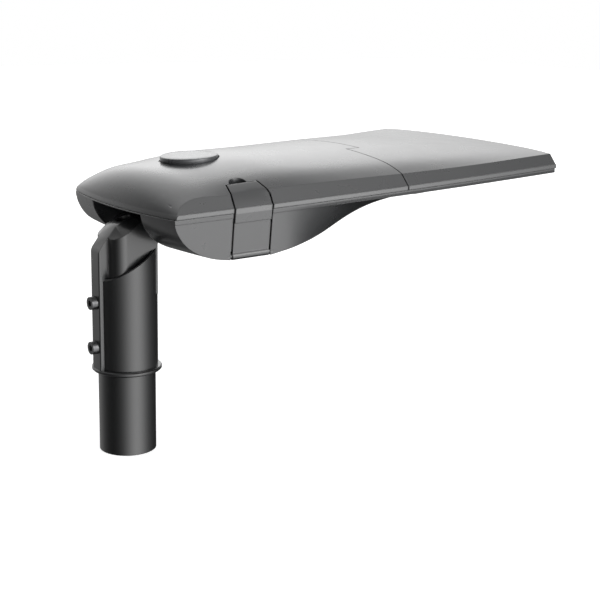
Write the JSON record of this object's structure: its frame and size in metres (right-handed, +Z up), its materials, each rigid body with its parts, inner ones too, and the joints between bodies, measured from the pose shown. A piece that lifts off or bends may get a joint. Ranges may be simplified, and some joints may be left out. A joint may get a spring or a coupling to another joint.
{
  "type": "led street light head",
  "caption": "Post-top LED street light head with tilting knuckle bracket, side-latched gear cover, round socket cap and glazed underside.",
  "frame": {"origin": "centre of the post tube's lower end", "axes": "+Z up along the post, +X out towards the lamp end, -Y the side seen nearest in the picture"},
  "size_m": [0.5204, 0.3112, 0.3101],
  "materials": {
    "bracket_paint": "satin dark grey powder coat",
    "housing_paint": "satin dark grey powder coat",
    "black_rubber": "matt",
    "stainless": "turned stainless",
    "black_steel": "blackened",
    "cap_plastic": "fine satin",
    "dark_plastic": "matt",
    "grey_plastic": "matt",
    "white_plastic": "smooth",
    "driver_case": "bead blasted",
    "zinc_sheet": "zinc plated sheet",
    "plate_alu": "extruded",
    "board_white": "white solder mask",
    "lens_clear": "clear moulded",
    "clear_glass": "clear tempered"
  },
  "bodies": {
    "post": {"pole_tube": "bracket_paint", "socket_bracket": "bracket_paint", "collar_ring": "bracket_paint", "clamp_screws": "black_steel"},
    "head": {"bezel_screws": "stainless", "breather_plug": "dark_plastic", "cable_gland": "dark_plastic", "control_socket": "dark_plastic", "cover_gasket": "black_rubber", "cover_glass": "clear_glass", "cover_screws": "stainless", "front_cover": "housing_paint", "gear_tray": "zinc_sheet", "glass_bezel": "housing_paint", "glass_seal": "black_rubber", "heat_plate": "plate_alu", "knuckle_bolt": "stainless", "knuckle_nut": "stainless", "knuckle_washers": "stainless", "latch_pins": "stainless", "led_board": "board_white", "led_driver": "driver_case", "lens_array": "lens_clear", "lower_housing": "housing_paint", "rear_cover": "housing_paint", "socket_cap": "cap_plastic", "surge_protector": "white_plastic", "terminal_block": "grey_plastic", "tray_screws": "stainless"},
    "latch_near": {"latch_near": "housing_paint"},
    "latch_far": {"latch_far": "housing_paint"}
  },
  "joints": [
    {"name": "head_tilt", "type": "hinge", "parent": "post", "child": "head", "pos_m": [0.038, 0, 0.24186], "axis": [0, -1, 0], "range_deg": [-8, 7]},
    {"name": "latch_near_swing", "type": "hinge", "parent": "head", "child": "latch_near", "pos_m": [0.07726, -0.11356, 0.22292], "axis": [0.9875, -0.1483, 0.0526], "range_deg": [0, 80]},
    {"name": "latch_far_swing", "type": "hinge", "parent": "head", "child": "latch_far", "pos_m": [0.07726, 0.11356, 0.22292], "axis": [-0.9875, -0.1483, -0.0526], "range_deg": [0, 80]}
  ]
}
